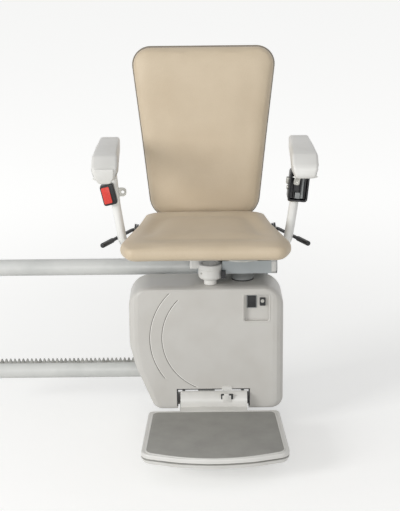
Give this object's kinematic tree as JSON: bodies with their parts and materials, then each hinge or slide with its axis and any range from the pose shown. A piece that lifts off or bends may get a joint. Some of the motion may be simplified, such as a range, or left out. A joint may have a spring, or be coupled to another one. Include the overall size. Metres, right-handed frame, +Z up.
{
  "type": "stairlift chair",
  "caption": "Stairlift chair: padded seat, backrest and fold-up arms that swivel on a rack-driven carriage running on a two-tube rail, with a folding footrest.",
  "frame": {"origin": "centre of the four bolt holes of the rail's foot plate, on its underside at floor level", "axes": "+X along the rail, to the right seen from in front of the chair; -Y the way the sitter faces; +Z up"},
  "size_m": [0.9794, 0.6379, 1.0881],
  "materials": {
    "rail_paint": "smooth powder coat",
    "rack_steel": "machined steel",
    "frame_paint": "grey powder coat",
    "dark_paint": "black powder coat",
    "white_paint": "white gloss powder coat",
    "casing_plastic": "moulded, fine texture",
    "white_plastic": "moulded",
    "black_plastic": "moulded",
    "grey_plastic": "moulded",
    "red_plastic": "moulded",
    "rubber_black": "moulded",
    "mat_rubber": "ribbed rubber",
    "steel": "zinc plated",
    "roller_nylon": "turned nylon",
    "upholstery": "beige vinyl",
    "shell_plastic": "moulded",
    "board_green": "printed circuit board",
    "battery_case": "moulded",
    "board_wood": "plywood, black edged"
  },
  "bodies": {
    "rail": {"rail_tube_upper": "rail_paint", "rail_tube_lower": "rail_paint", "rail_end_caps": "grey_plastic", "drive_rack": "rack_steel", "rail_stanchion": "rail_paint", "foot_plate": "rail_paint"},
    "carriage": {"chassis_plate": "frame_paint", "roller_axles": "steel", "drive_gearmotor": "dark_paint", "batteries": "battery_case", "control_board": "board_green", "front_casing": "casing_plastic", "casing_screws": "steel", "control_recess": "casing_plastic", "key_switch_body": "black_plastic", "seat_post": "frame_paint", "post_boots": "rubber_black", "seat_carrier": "frame_paint", "carrier_covers": "white_plastic", "interlock_housing": "white_plastic", "interlock_connector": "black_plastic", "swivel_index_plate": "steel", "footrest_hinge_pin": "steel", "footrest_hinge_bracket": "frame_paint", "footrest_latch_tab": "white_plastic"},
    "top_roller_a": {"top_roller_left": "roller_nylon"},
    "top_roller_b": {"top_roller_right": "roller_nylon"},
    "under_roller_a": {"under_roller_left": "roller_nylon"},
    "under_roller_b": {"under_roller_right": "roller_nylon"},
    "front_roller_a": {"front_roller_left": "roller_nylon"},
    "front_roller_b": {"front_roller_right": "roller_nylon"},
    "pinion": {"drive_pinion": "steel"},
    "isolator": {"isolator_rocker": "black_plastic"},
    "key_rotor": {"key_switch_rotor": "steel"},
    "seat": {"swivel_plate": "frame_paint", "seat_frame": "dark_paint", "seat_buffers": "rubber_black", "frame_brackets": "dark_paint", "hinge_pins": "steel", "back_spine": "dark_paint", "backrest_shell": "shell_plastic", "backrest_cushion": "upholstery", "arm_upright_left": "white_paint", "arm_upright_right": "white_paint", "buckle_body": "black_plastic", "buckle_lug": "steel", "retractor_housing": "black_plastic", "belt_tongue": "steel"},
    "seat_base": {"seat_hinge_leaves": "dark_paint", "seat_board": "board_wood", "seat_cushion": "upholstery"},
    "arm_left": {"arm_pad_left": "white_plastic"},
    "arm_right": {"arm_pad_right": "white_plastic"},
    "toggle": {"direction_toggle": "white_plastic"},
    "release": {"release_levers": "black_plastic"},
    "latch": {"latch_pin": "steel"},
    "button": {"buckle_button": "red_plastic"},
    "footrest": {"footrest_platform": "white_plastic", "footrest_mat": "mat_rubber"},
    "underpan": {"footrest_underpan": "white_plastic"}
  },
  "joints": [
    {"name": "carriage_travel", "type": "slide", "parent": "rail", "child": "carriage", "axis": [1, 0, 0], "range_m": [-0.45, 0]},
    {"name": "top_roller_left_spin", "type": "hinge", "parent": "carriage", "child": "top_roller_a", "pos_m": [0.005, 0, 0.4853], "axis": [0, 1, 0], "range_deg": [-1616, 5]},
    {"name": "top_roller_right_spin", "type": "hinge", "parent": "carriage", "child": "top_roller_b", "pos_m": [0.158, 0, 0.4853], "axis": [0, 1, 0], "range_deg": [-1616, 5]},
    {"name": "under_roller_left_spin", "type": "hinge", "parent": "carriage", "child": "under_roller_a", "pos_m": [-0.13, 0, 0.4047], "axis": [0, -1, 0], "range_deg": [-1616, 5]},
    {"name": "under_roller_right_spin", "type": "hinge", "parent": "carriage", "child": "under_roller_b", "pos_m": [0.15, 0, 0.4047], "axis": [0, -1, 0], "range_deg": [-1616, 5]},
    {"name": "front_roller_left_spin", "type": "hinge", "parent": "carriage", "child": "front_roller_a", "pos_m": [-0.12, -0.0343, 0.127], "axis": [0, 0, 1], "range_deg": [-2583, 5]},
    {"name": "front_roller_right_spin", "type": "hinge", "parent": "carriage", "child": "front_roller_b", "pos_m": [0.13, -0.0343, 0.127], "axis": [0, 0, 1], "range_deg": [-2583, 5]},
    {"name": "pinion_spin", "type": "hinge", "parent": "carriage", "child": "pinion", "pos_m": [-0.06, 0, 0.1854], "axis": [0, 1, 0], "range_deg": [-926, 5]},
    {"name": "isolator_tilt", "type": "hinge", "parent": "carriage", "child": "isolator", "pos_m": [0.1285, -0.168, 0.3915], "axis": [1, 0, 0], "range_deg": [-8, 8]},
    {"name": "key_turn", "type": "hinge", "parent": "carriage", "child": "key_rotor", "pos_m": [0.1585, -0.174, 0.394], "axis": [0, 1, 0], "range_deg": [0, 90]},
    {"name": "footrest_fold", "type": "hinge", "parent": "carriage", "child": "footrest", "pos_m": [0, -0.18, 0.1], "axis": [-1, 0, 0], "range_deg": [0, 90]},
    {"name": "underpan_lift", "type": "slide", "parent": "footrest", "child": "underpan", "axis": [0, 0, 1], "range_m": [0, 0.0045], "stiffness_N_per_m": 3000, "springref_m": -0.004},
    {"name": "seat_swivel", "type": "hinge", "parent": "carriage", "child": "seat", "pos_m": [0.105, -0.102, 0.512], "axis": [0, 0, 1], "range_deg": [-80, 80]},
    {"name": "seat_fold", "type": "hinge", "parent": "seat", "child": "seat_base", "pos_m": [0, -0.15, 0.6], "axis": [-1, 0, 0], "range_deg": [0, 75]},
    {"name": "arm_left_fold", "type": "hinge", "parent": "seat", "child": "arm_left", "pos_m": [-0.257, -0.17, 0.815], "axis": [-1, 0, 0], "range_deg": [0, 90]},
    {"name": "arm_right_fold", "type": "hinge", "parent": "seat", "child": "arm_right", "pos_m": [0.257, -0.17, 0.815], "axis": [-1, 0, 0], "range_deg": [0, 90]},
    {"name": "direction_toggle_tilt", "type": "hinge", "parent": "arm_left", "child": "toggle", "pos_m": [-0.258, -0.387, 0.808], "axis": [0, 1, 0], "range_deg": [-8, 8], "stiffness_Nm_per_rad": 0.3},
    {"name": "swivel_release_tilt", "type": "hinge", "parent": "seat", "child": "release", "pos_m": [0, -0.06, 0.573], "axis": [1, 0, 0], "range_deg": [0, 12], "stiffness_Nm_per_rad": 4, "springref_deg": -14.32},
    {"name": "latch_pin_lift", "type": "slide", "parent": "seat", "child": "latch", "axis": [0, 0, 1], "range_m": [0, 0.0072]},
    {"name": "buckle_button_press", "type": "slide", "parent": "seat", "child": "button", "axis": [0, 1, 0], "range_m": [0, 0.003], "stiffness_N_per_m": 600, "springref_m": -0.002}
  ],
  "couplings": [
    {"joint": "top_roller_left_spin", "follows": "carriage_travel", "rad_per_m": 62.5},
    {"joint": "top_roller_right_spin", "follows": "carriage_travel", "rad_per_m": 62.5},
    {"joint": "under_roller_left_spin", "follows": "carriage_travel", "rad_per_m": 62.5},
    {"joint": "under_roller_right_spin", "follows": "carriage_travel", "rad_per_m": 62.5},
    {"joint": "front_roller_left_spin", "follows": "carriage_travel", "rad_per_m": 100},
    {"joint": "front_roller_right_spin", "follows": "carriage_travel", "rad_per_m": 100},
    {"joint": "pinion_spin", "follows": "carriage_travel", "rad_per_m": 35.714},
    {"joint": "latch_pin_lift", "follows": "swivel_release_tilt", "m_per_rad": 0.03342}
  ]
}
